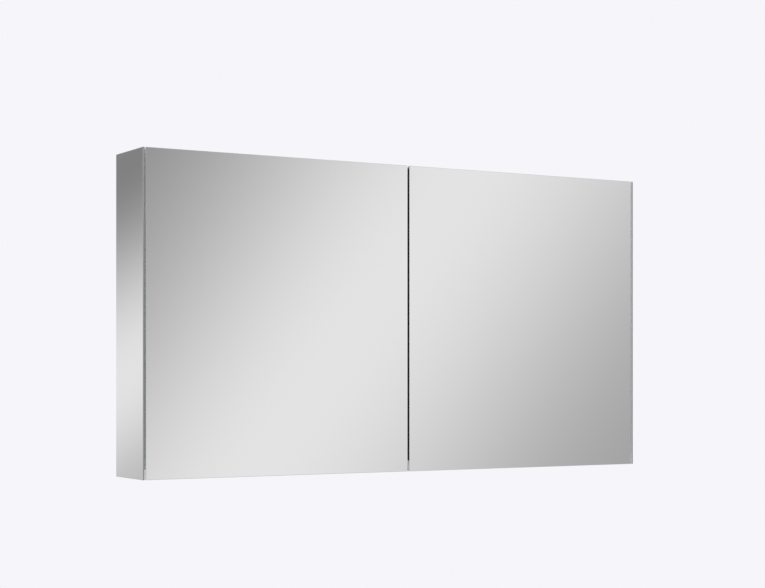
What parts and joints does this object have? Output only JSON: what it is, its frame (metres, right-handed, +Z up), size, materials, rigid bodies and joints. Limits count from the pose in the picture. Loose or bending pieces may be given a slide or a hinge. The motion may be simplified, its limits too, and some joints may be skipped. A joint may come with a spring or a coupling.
{
  "type": "bathroom mirror cabinet",
  "caption": "Wall-hung bathroom mirror cabinet with a pair of mirrored doors, mirrored side panels, glass shelves and a finger grip below the door glass.",
  "frame": {"origin": "on the wall plane, at the middle of the row of screw holes in the wall rail, 60 mm below the top edge", "axes": "+Z up, +X to the right of a person who faces the doors, +Y into the wall"},
  "size_m": [1.2, 0.14, 0.645],
  "materials": {
    "mirror": "silvered float glass, polished",
    "shelf_glass": "clear float glass, polished edges",
    "cabinet_board": "light grey melamine on board",
    "back_panel": "light grey melamine on hardboard",
    "door_board": "anthracite melamine on board",
    "nickel": "nickel plated",
    "zinc": "zinc plated",
    "steel": "satin stainless",
    "aluminium": "satin anodised aluminium",
    "beech": "plain beech",
    "magnet": "dark satin",
    "grey_plastic": "moulded",
    "nylon": "moulded",
    "bumper": "soft clear silicone"
  },
  "bodies": {
    "cabinet": {"back_panel": "back_panel", "bottom_board": "cabinet_board", "cam_bolts": "zinc", "cam_locks": "zinc", "catch_magnets": "magnet", "centre_partition": "cabinet_board", "left_bottom_pivot_bracket": "steel", "left_hanger_adjusters": "zinc", "left_hanger_hook": "zinc", "left_hanger_housing": "grey_plastic", "left_lower_shelf": "shelf_glass", "left_shelf_pins": "nickel", "left_side_board": "cabinet_board", "left_side_mirror": "mirror", "left_top_pivot_bracket": "steel", "left_upper_shelf": "shelf_glass", "partition_screws": "zinc", "pivot_bracket_screws": "nickel", "right_bottom_pivot_bracket": "steel", "right_hanger_adjusters": "zinc", "right_hanger_hook": "zinc", "right_hanger_housing": "grey_plastic", "right_lower_shelf": "shelf_glass", "right_shelf_pins": "nickel", "right_side_board": "cabinet_board", "right_side_mirror": "mirror", "right_top_pivot_bracket": "steel", "right_upper_shelf": "shelf_glass", "thrust_washers": "nylon", "top_board": "cabinet_board", "wall_rail": "zinc", "wooden_dowels": "beech"},
    "left_door": {"left_door_mirror": "mirror", "left_door_board": "door_board", "left_inner_mirror": "mirror", "left_grip_rail": "aluminium", "left_pivot_blocks": "nylon", "left_strike_plates": "nickel", "left_door_screws": "nickel", "left_door_bumpers": "bumper"},
    "right_door": {"right_door_mirror": "mirror", "right_door_board": "door_board", "right_inner_mirror": "mirror", "right_grip_rail": "aluminium", "right_pivot_blocks": "nylon", "right_strike_plates": "nickel", "right_door_screws": "nickel", "right_door_bumpers": "bumper"}
  },
  "joints": [
    {"name": "left_door_swing", "type": "hinge", "parent": "cabinet", "child": "left_door", "pos_m": [-0.5828, -0.1335, -0.25], "axis": [0, 0, -1], "range_deg": [0, 105]},
    {"name": "right_door_swing", "type": "hinge", "parent": "cabinet", "child": "right_door", "pos_m": [0.5828, -0.1335, -0.25], "axis": [0, 0, 1], "range_deg": [0, 105]}
  ]
}
